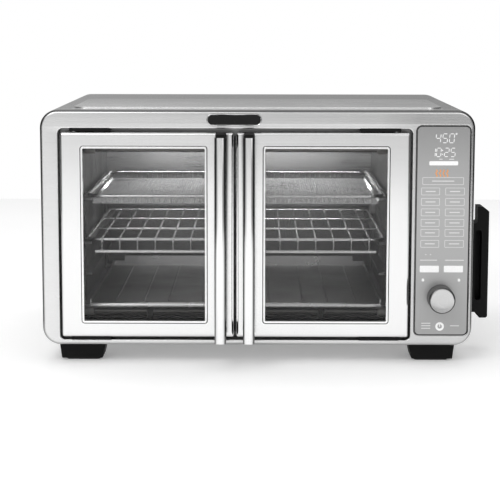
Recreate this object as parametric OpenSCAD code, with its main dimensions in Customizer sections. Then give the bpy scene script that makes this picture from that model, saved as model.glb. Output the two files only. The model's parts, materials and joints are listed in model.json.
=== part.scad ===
// Countertop toaster oven with two glass doors that open from the middle.
// X runs right, Y runs back, Z runs up. Inside the modules y = 0 is the front face of the bezel
// and x = 0 the cabinet's centre. in_frame() moves everything to the stored origin.

/* [Cabinet] */
// Width of the cabinet
body_w = 508; // [500:1:530]
// Height of the cabinet above its feet
body_h = 278; // [277:1:290]
// Depth of the cabinet
body_d = 397; // [390:1:430]
// Height of the feet
foot_h = 22; // [16:1:30]
// Corner radius of the front bezel
corner_r = 21; // [16:1:24]

/* [Doors] */
// Thickness of the steel in the doors
door_sheet = 1.5; // [1.2:0.1:1.8]
// Gap between the two doors
door_gap = 2; // [1.8:0.1:3]
// How far each door opens, in degrees
door_open = 100; // [60:1:100]
// Width of a handle bar
handle_w = 13.4; // [10:0.2:16]
// How far a handle bar stands in front of the bezel
handle_reach = 45; // [35:1:55]

/* [Controls] */
// Radius of the knob
knob_r = 15.6; // [12:0.2:18]
// How far the knob stands in front of the bezel
knob_reach = 26; // [18:1:30]

/* [Cooking space] */
// Height of the fry basket's rim above the table
basket_z = 198; // [190:1:205]
// Height of the wire rack above the table
rack_z = 144; // [137:1:145]
// Height of the bake tray's floor above the table
tray_z = 66; // [64:1:72]
// Number of depth wires in the rack
rack_wires = 16; // [10:2:20]

/* [Side piece] */
// How far the moulded piece stands off the right side
side_reach = 30; // [26:1:34]

/* [Hidden] */

$fn = 48;
eps = 0.1;
half_w = body_w / 2;
base_z = foot_h;
top_z = foot_h + body_h;
sheet = 1.2;
bezel_d = 24.8;
bezel_t = 1.5;
back_y = body_d - 2;
pan_inset = 28;

// Raised field on the top
field_x = half_w - 35;
field_y0 = 34;
field_y1 = 234;
field_r = 18;
field_rise = 1.6;

// Slots that let air through the back and the bottom
vent_l = 30;
vent_pitch = 46;

// Door opening in the bezel
open_x0 = -half_w + 21;
open_x1 = half_w - 73;
open_z0 = base_z + 6.5;
open_z1 = top_z - 21.7;
open_r = 6;

// Each door, drawn with x = 0 at its outer edge
door_x0 = open_x0 + 2.5;
door_x1 = open_x1 - 2.5;
door_w = (door_x1 - door_x0 - door_gap) / 2;
door_z0 = open_z0 + 3.4;
door_z1 = open_z1 - 4.1;
door_front = -3;
door_skin_back = 12;
door_back = 21;
door_r = 5;
door_edge_r = 3.5;
pivot_in = 16;
pivot_y = 6;
pin_r = 3;
fit = 0.05;
win_x0 = 24;
win_x1 = door_w - 32;
win_z0 = door_z0 + 17;
win_z1 = door_z1 - 16.5;
win_r = 3;
trim_w = 2.5;
glass_hold = 4;
glass_y0 = 5;
glass_y1 = 9;
handle_x = door_w - 15.5;
handle_z0 = door_z0 - 0.3;
handle_z1 = door_z1 - 3.4;
handle_t = 12;
post_h = 15;
post_half = 5.4;

// Gears and bar that make both doors turn together
tooth = 1;
sector_teeth = 28;
sector_pitch_r = sector_teeth * tooth / 2;
idler_teeth = 14;
idler_pitch_r = idler_teeth * tooth / 2;
rack_pitch = PI * tooth;
gear_z0 = open_z1 + 5.7;
gear_t = 5;
left_pitch_y = pivot_y + sector_pitch_r;
right_pitch_y = left_pitch_y + 2 * idler_pitch_r;
root_depth = 1.2;
bar_depth = 6.8;
bar_travel = sector_pitch_r * door_open * PI / 180;
pivot_left_x = door_x0 + pivot_in;
pivot_right_x = door_x1 - pivot_in;

// Cooking space
cav_x0 = -half_w + 45;
cav_x1 = open_x1 - 24;
cav_y0 = bezel_d + sheet;
cav_y1 = 366;
cav_z0 = base_z + 12;
cav_z1 = base_z + 240;
cav_mid = (cav_x0 + cav_x1) / 2;
wall = 1;
ledge_w = 11;
ledge_t = 3;
shelf_levels = [tray_z - 0.8, tray_z + 38, rack_z - 3, basket_z - 4.2];
load_w = 356;
heater_r = 3.2;
lower_heater_z = base_z + 33.5;
upper_heater_z = base_z + 226;
lower_heater_y = [42, 300];
upper_heater_y = [80, 190, 310];
insulator_r = 5.5;
insulator_l = 12;
sensor_y = 250;
sensor_z = cav_z1 - 9;
sensor_r = 2;
lamp_y = 278;
lamp_z = cav_z1 - 95.5;
lamp_hole_r = 17;

// Convection fan on the right wall
fan_y = 200;
fan_z = base_z + 128;
fan_room_r = 60;
fan_room_d = 30;
shaft_r = 2.5;

// Control panel and knob
panel_x0 = open_x1 + 5;
panel_x1 = half_w - 5.5;
panel_z0 = base_z + 12.8;
panel_z1 = top_z - 18;
panel_r = 6;
panel_gap = 0.3;
panel_front = -0.6;
knob_x = (panel_x0 + panel_x1) / 2 - 1.3;
knob_z = base_z + 58;
board_t = 1.6;
display_x0 = panel_x0 + 12;
display_x1 = panel_x1 - 12;
display_z0 = panel_z1 - 40;
display_z1 = panel_z1 - 5;

// Side piece
side_y0 = 86;
side_y1 = 114;

// Feet
foot_top_w = 56;
foot_bottom_w = 50;
foot_d = 42;
foot_x = half_w - 17.5 - foot_top_w / 2;
foot_y_front = 40;
foot_y_back = back_y - 45;
pad_h = 2;

// Inlet of the mains lead
gland_reach = 6;
gland_x = -190;
gland_z = base_z + 40;
gland_r = 6.9;

frame_x = side_reach / 2;
frame_y = (body_d + gland_reach - handle_reach) / 2;

// ---------- shared shapes ----------

module in_frame() {
  translate([-frame_x, -frame_y, 0]) children();
}

module block(low, high) {
  translate(low) cube(high - low);
}

// Rectangle with round corners, drawn from its two corners
module round_rect(low, high, r) {
  translate([low[0] + r, low[1]]) square([high[0] - low[0] - 2 * r, high[1] - low[1]]);
  translate([low[0], low[1] + r]) square([high[0] - low[0], high[1] - low[1] - 2 * r]);
  for (x = [low[0] + r, high[0] - r]) {
    for (z = [low[1] + r, high[1] - r]) translate([x, z]) circle(r);
  }
}

// Upright slab with round corners in x and z
module slab(x0, x1, z0, z1, y0, y1, r) {
  translate([0, y1, 0]) rotate([90, 0, 0]) linear_extrude(y1 - y0)
    round_rect([x0, z0], [x1, z1], r);
}

module rod_x(x0, x1, y, z, r) {
  translate([x0, y, z]) rotate([0, 90, 0]) cylinder(h = x1 - x0, r = r);
}

module rod_y(x, y0, y1, z, r) {
  translate([x, y0, z]) rotate([-90, 0, 0]) cylinder(h = y1 - y0, r = r);
}

module rod_z(x, y, z0, z1, r) {
  translate([x, y, z0]) cylinder(h = z1 - z0, r = r);
}

// Flat closed loop of wire with round corners, at height z
module wire_loop(x0, x1, y0, y1, z, bend, r) {
  rod_x(x0 + bend, x1 - bend, y0, z, r);
  rod_x(x0 + bend, x1 - bend, y1, z, r);
  rod_y(x0, y0 + bend, y1 - bend, z, r);
  rod_y(x1, y0 + bend, y1 - bend, z, r);
  corners = [[x0 + bend, y0 + bend, 180], [x1 - bend, y0 + bend, 270],
             [x1 - bend, y1 - bend, 0], [x0 + bend, y1 - bend, 90]];
  for (c = corners) translate([c[0], c[1], z]) rotate([0, 0, c[2]])
    rotate_extrude(angle = 90) translate([bend, 0]) circle(r, $fn = 24);
}

// Places a door drawn from its outer edge on the left or the right
module at_door(side) {
  if (side < 0) translate([door_x0, 0, 0]) children();
  else translate([door_x1, 0, 0]) mirror([1, 0, 0]) children();
}

// ---------- cabinet ----------

module front_bezel() {
  in_frame() color("silver") difference() {
    union() {
      difference() {
        slab(-half_w, half_w, base_z, top_z, 0, bezel_d, corner_r);
        slab(-half_w + bezel_t, half_w - bezel_t, base_z + bezel_t, top_z - bezel_t,
             bezel_t, bezel_d + eps, corner_r - bezel_t);
      }
      slab(open_x0 - bezel_t, open_x1 + bezel_t, open_z0 - bezel_t, open_z1 + bezel_t,
           bezel_t / 2, bezel_d, open_r + bezel_t);
    }
    slab(open_x0, open_x1, open_z0, open_z1, -eps, bezel_d + eps, open_r);
    slab(panel_x0, panel_x1, panel_z0, panel_z1, -eps, bezel_t + eps, panel_r);
    for (x = [pivot_left_x, pivot_right_x]) {
      rod_z(x, pivot_y, open_z1 - eps, open_z1 + bezel_t + eps, pin_r + 0.8);
    }
  }
}

module badge() {
  badge_x = (door_x0 + door_x1) / 2 - 1;
  badge_z = top_z - 11.2;
  half_l = 32;
  half_h = 7.2;
  proud = 2;
  in_frame() color([0.06, 0.06, 0.07])
    slab(badge_x - half_l, badge_x + half_l, badge_z - half_h, badge_z + half_h, -proud, 0,
         half_h - eps);
}

// Top and sides in one folded sheet, with a raised field on the top
module cabinet_wrap() {
  in_frame() color("gainsboro") difference() {
    union() {
      slab(-half_w, half_w, base_z, top_z, bezel_d, back_y, corner_r);
      translate([0, 0, top_z - sheet]) linear_extrude(sheet + field_rise)
        round_rect([-field_x, field_y0], [field_x, field_y1], field_r);
    }
    slab(-half_w + sheet, half_w - sheet, base_z + sheet, top_z - sheet,
         bezel_d - eps, back_y + eps, corner_r - sheet);
    translate([0, 0, top_z - 2 * sheet]) linear_extrude(field_rise + sheet)
      round_rect([-field_x + sheet, field_y0 + sheet], [field_x - sheet, field_y1 - sheet],
                 field_r - sheet);
    block([-half_w + pan_inset, bezel_d - eps, base_z - eps],
          [half_w - pan_inset, back_y + eps, base_z + sheet + eps]);
  }
}

module rear_panel() {
  first_x = -180;
  first_z = top_z - 42;
  row_pitch = 12;
  vent_h = 4;
  in_frame() color("darkgray") difference() {
    slab(-half_w, half_w, base_z, top_z, back_y, body_d, corner_r);
    for (row = [0 : 4]) for (col = [0 : 7]) {
      x = first_x + col * vent_pitch;
      z = first_z - row * row_pitch;
      block([x, back_y - eps, z - vent_h], [x + vent_l, body_d + eps, z]);
    }
    rod_y(gland_x, back_y - eps, body_d + eps, gland_z, gland_r + 0.1);
  }
}

module base_pan() {
  first_x = -150;
  first_y = 120;
  row_pitch = 40;
  vent_d = 6;
  in_frame() color("darkgray") difference() {
    block([-half_w + pan_inset, bezel_d, base_z], [half_w - pan_inset, back_y, base_z + sheet]);
    for (row = [0 : 3]) for (col = [0 : 6]) {
      x = first_x + col * vent_pitch;
      y = first_y + row * row_pitch;
      block([x, y, base_z - eps], [x + vent_l, y + vent_d, base_z + sheet + eps]);
    }
  }
}

// One tapered foot, drawn about its centre
module foot_block(side) {
  outer_taper = 2.5;
  inner_taper = foot_top_w - foot_bottom_w - outer_taper + 1;
  half = foot_top_w / 2;
  translate([0, foot_d / 2, 0]) rotate([90, 0, 0]) linear_extrude(foot_d)
    mirror([side > 0 ? 0 : 1, 0, 0])
    polygon([[-half, base_z], [half, base_z], 
             [half - outer_taper, pad_h], [-half + inner_taper, pad_h]]);
}

module feet() {
  in_frame() color([0.06, 0.06, 0.06])
    for (side = [-1, 1]) for (y = [foot_y_front, foot_y_back]) {
      translate([side * foot_x, y, 0]) foot_block(side);
    }
}

module foot_pads() {
  in_frame() color([0.16, 0.16, 0.16])
    for (side = [-1, 1]) for (y = [foot_y_front, foot_y_back]) {
      translate([side * foot_x, y, 0]) linear_extrude(pad_h) round_rect([-20, -17], [20, 17], 5);
    }
}

// ---------- cooking space ----------

module cavity_left_wall() {
  in_frame() color("lightgray")
    block([cav_x0 - wall, cav_y0, cav_z0 - wall], [cav_x0, cav_y1, cav_z1 + wall]);
}

module cavity_right_wall() {
  ring_pitch = 13;
  hole_r = 3;
  in_frame() color("lightgray") difference() {
    block([cav_x1, cav_y0, cav_z0 - wall], [cav_x1 + wall, cav_y1, cav_z1 + wall]);
    for (ring = [1 : 3]) for (i = [0 : 6 * ring - 1]) {
      a = i * 360 / (6 * ring);
      rod_x(cav_x1 - eps, cav_x1 + wall + eps, fan_y + ring * ring_pitch * cos(a),
            fan_z + ring * ring_pitch * sin(a), hole_r);
    }
    rod_x(cav_x1 - eps, cav_x1 + wall + eps, sensor_y, sensor_z, sensor_r + 0.1);
    rod_x(cav_x1 - eps, cav_x1 + wall + eps, lamp_y, lamp_z, lamp_hole_r);
  }
}

module cavity_floor() {
  in_frame() color("lightgray")
    block([cav_x0, cav_y0, cav_z0 - wall], [cav_x1, cav_y1, cav_z0]);
}

module cavity_ceiling() {
  in_frame() color("lightgray")
    block([cav_x0, cav_y0, cav_z1], [cav_x1, cav_y1, cav_z1 + wall]);
}

module cavity_back() {
  in_frame() color("lightgray")
    block([cav_x0 - wall, cav_y1, cav_z0 - wall], [cav_x1 + wall, cav_y1 + wall, cav_z1 + wall]);
}

// Frame that ties the cooking space to the bezel
module cavity_front_flange() {
  in_frame() color("lightgray") difference() {
    slab(open_x0 - 8, open_x1 + 8, base_z + 3, open_z1 + bezel_t - 0.1, bezel_d, cav_y0, 8);
    slab(cav_x0, cav_x1, cav_z0, cav_z1, bezel_d - eps, cav_y0 + eps, 2);
  }
}

// Ledges pressed out of a side wall, with two upright strips that join them
module shelf_ledges(x_wall, side) {
  x_in = x_wall + side * ledge_w;
  x_strip = x_wall + side * 1.4;
  ledge_y0 = 34;
  ledge_y1 = 356;
  strip_w = 12;
  for (z = shelf_levels) {
    block([min(x_wall, x_in), ledge_y0, z - ledge_t], [max(x_wall, x_in), ledge_y1, z]);
  }
  for (y = [ledge_y0 + 28, ledge_y1 - 38]) {
    block([min(x_wall, x_strip), y, shelf_levels[0] - ledge_t],
          [max(x_wall, x_strip), y + strip_w, shelf_levels[3] + ledge_t]);
  }
}

module rack_guides_left() {
  in_frame() color("gray") shelf_ledges(cav_x0, 1);
}

module rack_guides_right() {
  in_frame() color("gray") shelf_ledges(cav_x1, -1);
}

module upper_heaters() {
  in_frame() color([0.2, 0.2, 0.2])
    for (y = upper_heater_y) rod_x(cav_x0 + 2, cav_x1 - 2, y, upper_heater_z, heater_r);
}

module lower_heaters() {
  in_frame() color([0.2, 0.2, 0.2])
    for (y = lower_heater_y) rod_x(cav_x0 + 2, cav_x1 - 2, y, lower_heater_z, heater_r);
}

// Ceramic ring around the end of a heating tube
module insulator(x0, y, z) {
  difference() {
    rod_x(x0, x0 + insulator_l, y, z, insulator_r);
    rod_x(x0 - eps, x0 + insulator_l + eps, y, z, heater_r + fit);
  }
}

module heater_insulators() {
  in_frame() color([0.55, 0.54, 0.52]) {
    for (x = [cav_x0, cav_x1 - insulator_l]) {
      for (y = upper_heater_y) insulator(x, y, upper_heater_z);
      for (y = lower_heater_y) insulator(x, y, lower_heater_z);
    }
  }
}

// Cross wires under the lower tubes, each with two saddles that carry the tube
module heater_clips() {
  clip_x = 103;
  in_frame() color([0.12, 0.12, 0.12])
    for (y = lower_heater_y) difference() {
      union() {
        rod_x(cav_x0, cav_x1, y, lower_heater_z - 7, 1.2);
        for (x = [cav_mid - clip_x, cav_mid + clip_x]) {
          block([x - 3.5, y - 4.6, lower_heater_z - 9], [x + 3.5, y + 4.6, lower_heater_z + 4.4]);
        }
      }
      rod_x(cav_x0 + insulator_l + 2, cav_x1 - insulator_l - 2, y, lower_heater_z, heater_r + fit);
    }
}

module temperature_sensor() {
  in_frame() color("silver") {
    rod_x(cav_x1 - 28, cav_x1 + 14, sensor_y, sensor_z, sensor_r);
    rod_x(cav_x1 + wall, cav_x1 + 7, sensor_y, sensor_z, 5);
  }
}

module lamp_cover() {
  in_frame() color([0.9, 0.9, 0.85, 0.5]) difference() {
    rod_x(cav_x1 - 6, cav_x1, lamp_y, lamp_z, lamp_hole_r + 4);
    rod_x(cav_x1 - 4.5, cav_x1 + eps, lamp_y, lamp_z, lamp_hole_r);
  }
}

module oven_lamp() {
  in_frame() color("ivory") union() {
    rod_x(cav_x1 + wall + 0.5, cav_x1 + 22, lamp_y, lamp_z, 10);
    rod_x(cav_x1 + 22, cav_x1 + 52, lamp_y, lamp_z, 14);
  }
}

module fan_housing() {
  x0 = cav_x1 + wall;
  in_frame() color("darkgray") difference() {
    rod_x(x0, x0 + fan_room_d, fan_y, fan_z, fan_room_r);
    rod_x(x0 - eps, x0 + fan_room_d - 1, fan_y, fan_z, fan_room_r - 1);
    rod_x(x0, x0 + fan_room_d + eps, fan_y, fan_z, 5);
  }
}

module fan_motor() {
  x0 = cav_x1 + wall + fan_room_d;
  in_frame() color([0.45, 0.42, 0.38]) difference() {
    union() {
      block([x0 + 5, fan_y - 28, fan_z - 20], [x0 + 23, fan_y + 28, fan_z + 20]);
      for (y = [fan_y - 22, fan_y + 22]) rod_x(x0, x0 + 6, y, fan_z, 4);
    }
    rod_x(x0 - eps, x0 + 24, fan_y, fan_z, shaft_r + fit);
  }
}

module fan_shaft() {
  x0 = cav_x1 + wall;
  in_frame() color("silver") rod_x(x0 + 4, x0 + 74, fan_y, fan_z, shaft_r);
}

// Hub with flat blades that turns about X
module fan_wheel(x0, x1, r, blades, tilt) {
  mid = (x0 + x1) / 2;
  depth = x1 - x0;
  difference() {
    union() {
      rod_x(x0, x1, fan_y, fan_z, 9);
      for (i = [0 : blades - 1]) translate([mid, fan_y, fan_z]) rotate([i * 360 / blades, 0, 0])
        translate([0, 0, r / 2 + 3]) rotate([0, 0, tilt])
        cube([1.2, depth * 0.9, r - 6], center = true);
    }
    rod_x(x0 - 1, x1 + 1, fan_y, fan_z, shaft_r + 0.01);
  }
}

module convection_fan() {
  x0 = cav_x1 + wall + 5;
  in_frame() color("silver") fan_wheel(x0, x0 + 18, 50, 8, 90);
}

module cooling_fan() {
  x0 = cav_x1 + wall + fan_room_d + 26;
  in_frame() color("silver") fan_wheel(x0, x0 + 14, 38, 6, 50);
}

// ---------- controls ----------

module control_panel() {
  in_frame() color([0.55, 0.55, 0.56]) difference() {
    union() {
      slab(panel_x0 + panel_gap, panel_x1 - panel_gap, panel_z0 + panel_gap,
           panel_z1 - panel_gap, panel_front, bezel_t, panel_r - panel_gap);
      slab(panel_x0 - 3, panel_x1 + 2, panel_z0 - 4, panel_z1 + 4, bezel_t, bezel_t + 2, 5);
    }
    slab(display_x0, display_x1, display_z0, display_z1, panel_front - eps, 0.6, 3);
    rod_y(knob_x, panel_front - eps, bezel_t + 2 + eps, knob_z, 3.6);
  }
}

module display() {
  in_frame() color([0.12, 0.12, 0.13])
    slab(display_x0, display_x1, display_z0, display_z1, panel_front, 0.6, 3);
}

module control_board() {
  board_y = 13;
  in_frame() color("darkgreen") {
    block([panel_x0 + 1, board_y, panel_z0 + 4], [panel_x1 - 1, board_y + board_t, panel_z1 - 4]);
    for (x = [panel_x0 + 5, panel_x1 - 5]) for (z = [panel_z0 + 9, panel_z1 - 9]) {
      rod_y(x, bezel_t + 2, board_y, z, 2.5);
    }
  }
}

module power_board() {
  board_x = half_w - sheet - 12;
  board_y0 = 276;
  board_y1 = 374;
  board_z0 = base_z + 40;
  board_z1 = base_z + 150;
  in_frame() color("darkgreen") {
    block([board_x - board_t, board_y0, board_z0], [board_x, board_y1, board_z1]);
    for (y = [board_y0 + 8, board_y1 - 8]) for (z = [board_z0 + 8, board_z1 - 8]) {
      rod_x(board_x, half_w - sheet, y, z, 3);
    }
    block([board_x - 30, board_y0 + 14, board_z0 + 50],
          [board_x - board_t, board_y0 + 46, board_z0 + 80]);
    rod_x(board_x - 24, board_x - board_t, board_y1 - 24, board_z0 + 70, 9);
  }
}

module encoder() {
  in_frame() color([0.3, 0.3, 0.32]) difference() {
    union() {
      block([knob_x - 7, bezel_t + 3, knob_z - 7], [knob_x + 7, 13, knob_z + 7]);
      rod_y(knob_x, panel_front, bezel_t + 3.5, knob_z, 3.5);
    }
    rod_y(knob_x, panel_front - eps, 10, knob_z, 1.55);
  }
}

module knob() {
  in_frame() color("silver") difference() {
    union() {
      rod_y(knob_x, -knob_reach + 1.2, -1.6, knob_z, knob_r);
      rod_y(knob_x, -8, 9, knob_z, 1.5);
    }
    rod_y(knob_x, -knob_reach + 1, -knob_reach + 2.2, knob_z, knob_r - 1.6);
  }
}

module knob_cap() {
  in_frame() color("whitesmoke")
    rod_y(knob_x, -knob_reach, -knob_reach + 2.2, knob_z, knob_r - 1.6);
}

// ---------- doors ----------

// Slab with the door's outline, set in by a margin
module door_slab(margin, y0, y1) {
  slab(margin, door_w - margin, door_z0 + margin, door_z1 - margin, y0, y1,
       max(door_r - margin, 1));
}

module window_slab(margin, y0, y1) {
  slab(win_x0 - margin, win_x1 + margin, win_z0 - margin, win_z1 + margin, y0, y1,
       win_r + max(margin, -2));
}

// Outline in x and y with round front corners, used upright
module rounded_front(length, y0, y1, r) {
  translate([r, y0]) square([length - 2 * r, y1 - y0]);
  translate([0, y0 + r]) square([length, y1 - y0 - r]);
  for (x = [r, length - r]) translate([x, y0 + r]) circle(r);
}

module door_outer() {
  intersection() {
    door_slab(0, door_front, door_skin_back);
    translate([0, 0, door_z0 - 1]) linear_extrude(door_z1 - door_z0 + 2)
      rounded_front(door_w, door_front, door_skin_back, door_edge_r);
    translate([-1, 0, door_z0]) rotate([90, 0, 90]) linear_extrude(door_w + 2)
      rounded_side(door_z1 - door_z0, door_front, door_skin_back, door_edge_r);
  }
}

// Outline in y and z with round front corners, used lengthwise
module rounded_side(length, y0, y1, r) {
  translate([y0, r]) square([y1 - y0, length - 2 * r]);
  translate([y0 + r, 0]) square([y1 - y0 - r, length]);
  for (z = [r, length - r]) translate([y0 + r, z]) circle(r);
}

module door_frame(side) {
  in_frame() at_door(side) color("silver") difference() {
    union() {
      difference() {
        door_outer();
        door_slab(door_sheet, door_front + door_sheet, door_skin_back + eps);
      }
      window_slab(1.2, door_front + 0.5, glass_y0);
    }
    window_slab(0, door_front - eps, glass_y0 + eps);
    rod_z(pivot_in, pivot_y, door_z0 - eps, door_z1 + eps, pin_r + fit);
  }
}

// Pressed inner pan that clamps the glass against the outer frame
module door_inner(side) {
  block_room = 14;
  in_frame() at_door(side) color("lightgray") difference() {
    union() {
      door_slab(door_sheet + 0.1, door_skin_back - 1.2, door_skin_back);
      door_slab(6, door_skin_back - 1.2, door_back);
      window_slab(1.2, glass_y1, door_back - 1);
    }
    difference() {
      door_slab(7.2, door_skin_back - 2, door_back - 1.2);
      window_slab(1.2, glass_y1 - eps, door_back);
    }
    window_slab(0, glass_y1 - eps, door_back + eps);
    for (z = [door_z0, door_z1 - block_room]) {
      block([pivot_in - 9, door_skin_back - 3, z - eps],
            [pivot_in + 9, door_skin_back + eps, z + block_room]);
    }
  }
}

module door_glass(side) {
  in_frame() at_door(side) color([0.7, 0.75, 0.78, 0.35]) window_slab(glass_hold, glass_y0, glass_y1);
}

module door_trim(side) {
  in_frame() at_door(side) color("white") difference() {
    window_slab(0, door_front - 0.4, glass_y0);
    window_slab(-trim_w, door_front - 1, glass_y0 + eps);
  }
}

module door_handle(side) {
  in_frame() at_door(side) color("silver")
    translate([0, 0, handle_z0]) linear_extrude(handle_z1 - handle_z0)
    round_rect([handle_x - handle_w / 2, -handle_reach],
               [handle_x + handle_w / 2, -handle_reach + handle_t], 4.5);
}

module door_posts(side) {
  in_frame() at_door(side) color([0.15, 0.15, 0.15])
    for (z = [handle_z0, handle_z1 - post_h]) {
      slab(handle_x - post_half, handle_x + post_half, z, z + post_h,
           -handle_reach + handle_t, door_front, 2.5);
    }
}

// A pie-shaped gear sector whose teeth run from straight back round to the outer side
module sector_outline() {
  step = 360 / sector_teeth;
  count = floor(door_open / step) + 2;
  root = sector_pitch_r - root_depth;
  end = -(count - 0.6) * step;
  difference() {
    union() {
      circle(pin_r + 1.2);
      intersection() {
        circle(root);
        polygon(concat([[0, 0]], [for (i = [0 : 8]) let (a = 90 - (end - 6) * i / 8 - 5)
                [root * 1.2 * cos(a), root * 1.2 * sin(a)]]));
      }
      for (i = [0 : count - 1]) rotate(i * step) gear_tooth(sector_pitch_r);
    }
    circle(pin_r + fit);
  }
}

// One straight-sided tooth that points to +Y at the pitch radius
module gear_tooth(pitch_r) {
  polygon([[-0.85, pitch_r - root_depth - 0.5], [-0.5, pitch_r], [-0.28, pitch_r + tooth],
           [0.28, pitch_r + tooth], [0.5, pitch_r], [0.85, pitch_r - root_depth - 0.5]]);
}

module door_pins(side) {
  block_h = 12;
  in_frame() at_door(side) color("dimgray") {
    rod_z(pivot_in, pivot_y, door_z1 - block_h, gear_z0 + gear_t + 2, pin_r);
    rod_z(pivot_in, pivot_y, open_z0 + 0.2, door_z0 + block_h, pin_r);
    for (z = [door_z0 + door_sheet, door_z1 - block_h]) {
      block([pivot_in - 7, door_front + door_sheet, z],
            [pivot_in + 7, door_skin_back, z + block_h - door_sheet]);
    }
    translate([pivot_in, pivot_y, gear_z0]) linear_extrude(gear_t) sector_outline();
  }
}

module hinge_bracket(z0, z1) {
  near_x = pivot_in - 5;
  far_x = 58;
  difference() {
    block([near_x, -1, z0], [far_x, 20, z1]);
    rod_z(pivot_in, pivot_y, z0 - eps, z1 + eps, pin_r + fit);
  }
}

module hinge_brackets_upper() {
  in_frame() color([0.06, 0.06, 0.06]) for (side = [-1, 1]) {
    at_door(side) hinge_bracket(door_z1 + 1, open_z1);
  }
}

module hinge_brackets_lower() {
  in_frame() color([0.06, 0.06, 0.06]) for (side = [-1, 1]) {
    at_door(side) hinge_bracket(open_z0, door_z0 - 0.7);
  }
}

// ---------- bar and idler that link the doors ----------

// Straight rack teeth that point to -Y from the pitch line
module rack_teeth(x_first, count, pitch_y) {
  for (i = [0 : count - 1]) translate([x_first + i * rack_pitch, pitch_y])
    polygon([[-0.85, root_depth + 0.5], [-0.5, 0], [-0.28, -tooth],
             [0.28, -tooth], [0.5, 0], [0.85, root_depth + 0.5]]);
}

module bar_outline() {
  reach = bar_travel + 3 * rack_pitch;
  steps = ceil(bar_travel / rack_pitch) + 3;
  x_a = pivot_left_x - reach;
  x_d = pivot_right_x + 2.5 * rack_pitch;
  y_a = left_pitch_y + root_depth;
  y_d = right_pitch_y + root_depth;
  jog_x = -60;
  polygon([[x_a, y_a], [jog_x, y_a], [jog_x + 24, y_d], [x_d, y_d], [x_d, y_d + bar_depth],
           [jog_x + 20, y_d + bar_depth], [jog_x - 4, y_a + bar_depth], [x_a, y_a + bar_depth]]);
  rack_teeth(pivot_left_x - (steps - 2.5) * rack_pitch, steps, left_pitch_y);
  rack_teeth(pivot_right_x - (steps - 3) * rack_pitch, steps, right_pitch_y);
}

module sync_rack_bar() {
  in_frame() color("goldenrod")
    translate([0, 0, gear_z0]) linear_extrude(gear_t) bar_outline();
}

module sync_idler() {
  in_frame() color("goldenrod") translate([pivot_right_x, left_pitch_y + idler_pitch_r, gear_z0])
    difference() {
      union() {
        cylinder(h = gear_t, r = idler_pitch_r - root_depth);
        for (i = [0 : idler_teeth - 1]) rotate((i + 0.5) * 360 / idler_teeth)
          linear_extrude(gear_t) gear_tooth(idler_pitch_r);
      }
      translate([0, 0, -eps]) cylinder(h = gear_t + 2 * eps, r = 2 + fit);
    }
}

// Channels that hold the bar, and the post that the idler turns on
module bar_guide(x, y0, z0) {
  y1 = y0 + bar_depth;
  guide_l = 12;
  room = 0.3;
  difference() {
    block([x, y0 - 2.4, z0], [x + guide_l, y1 + 3, gear_z0 + gear_t + 3]);
    block([x - eps, y0 - room, gear_z0 - room],
          [x + guide_l + eps, y1 + room, gear_z0 + gear_t + room]);
  }
}

module sync_guides() {
  left_y = left_pitch_y + root_depth;
  right_y = right_pitch_y + root_depth;
  ceiling_top = cav_z1 + wall;
  ledge_z = open_z1 + bezel_t;
  idler_y = left_pitch_y + idler_pitch_r;
  in_frame() color("gray") {
    bar_guide(-170, left_y, ledge_z);
    bar_guide(60, right_y, ceiling_top);
    block([pivot_right_x - 6, idler_y - 11, ledge_z],
          [pivot_right_x + 6, idler_y + 4, ledge_z + 1.4]);
    rod_z(pivot_right_x, idler_y, ledge_z + 1, gear_z0 - 0.4, 3.5);
    rod_z(pivot_right_x, idler_y, ledge_z + 1, gear_z0 + gear_t + 1, 2);
  }
}

// ---------- loads in the cooking space ----------

module wire_rack() {
  x0 = cav_mid - load_w / 2;
  x1 = cav_mid + load_w / 2;
  y0 = 40;
  y1 = 352;
  loop_z = rack_z - 1.1;
  loop_r = 1.9;
  cross_r = 1.4;
  bar_y = y0 - 6;
  bar_z = rack_z - 15;
  bar_r = 2;
  bar_in = 10;
  wire_r = 1.1;
  drop_r = 1.3;
  pitch = (load_w - 15) / rack_wires;
  in_frame() color("silver") {
    wire_loop(x0, x1, y0, y1, loop_z, 16, loop_r);
    for (y = [y0 + 101, y0 + 205]) rod_x(x0, x1, y, loop_z, cross_r);
    rod_x(x0 + bar_in, x1 - bar_in, bar_y, bar_z, bar_r);
    for (i = [0 : rack_wires - 1]) {
      x = cav_mid + (i - (rack_wires - 1) / 2) * pitch;
      rod_y(x, bar_y, y1 + 1, rack_z + 0.9, wire_r);
      rod_z(x, bar_y, bar_z, rack_z + 2.15, drop_r);
    }
  }
}

// Shallow basket: a wire rim with a thin floor and sides that stand for the mesh
module fry_basket() {
  x0 = cav_mid - load_w / 2 + 2;
  x1 = cav_mid + load_w / 2 - 2;
  y0 = 32;
  y1 = 346;
  rim_r = 2.2;
  depth = 12;
  in_x = 5;
  in_y = 1;
  in_frame() color("silver") difference() {
    union() {
      wire_loop(x0, x1, y0, y1, basket_z - 2, 20, rim_r);
      translate([0, 0, basket_z - depth]) linear_extrude(depth - 2)
        round_rect([x0 + in_x, y0 + in_y], [x1 - in_x, y1 - in_y], 16);
    }
    translate([0, 0, basket_z - depth + wall]) linear_extrude(depth)
      round_rect([x0 + in_x + wall, y0 + in_y + wall], [x1 - in_x - wall, y1 - in_y - wall], 15);
  }
}

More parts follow.
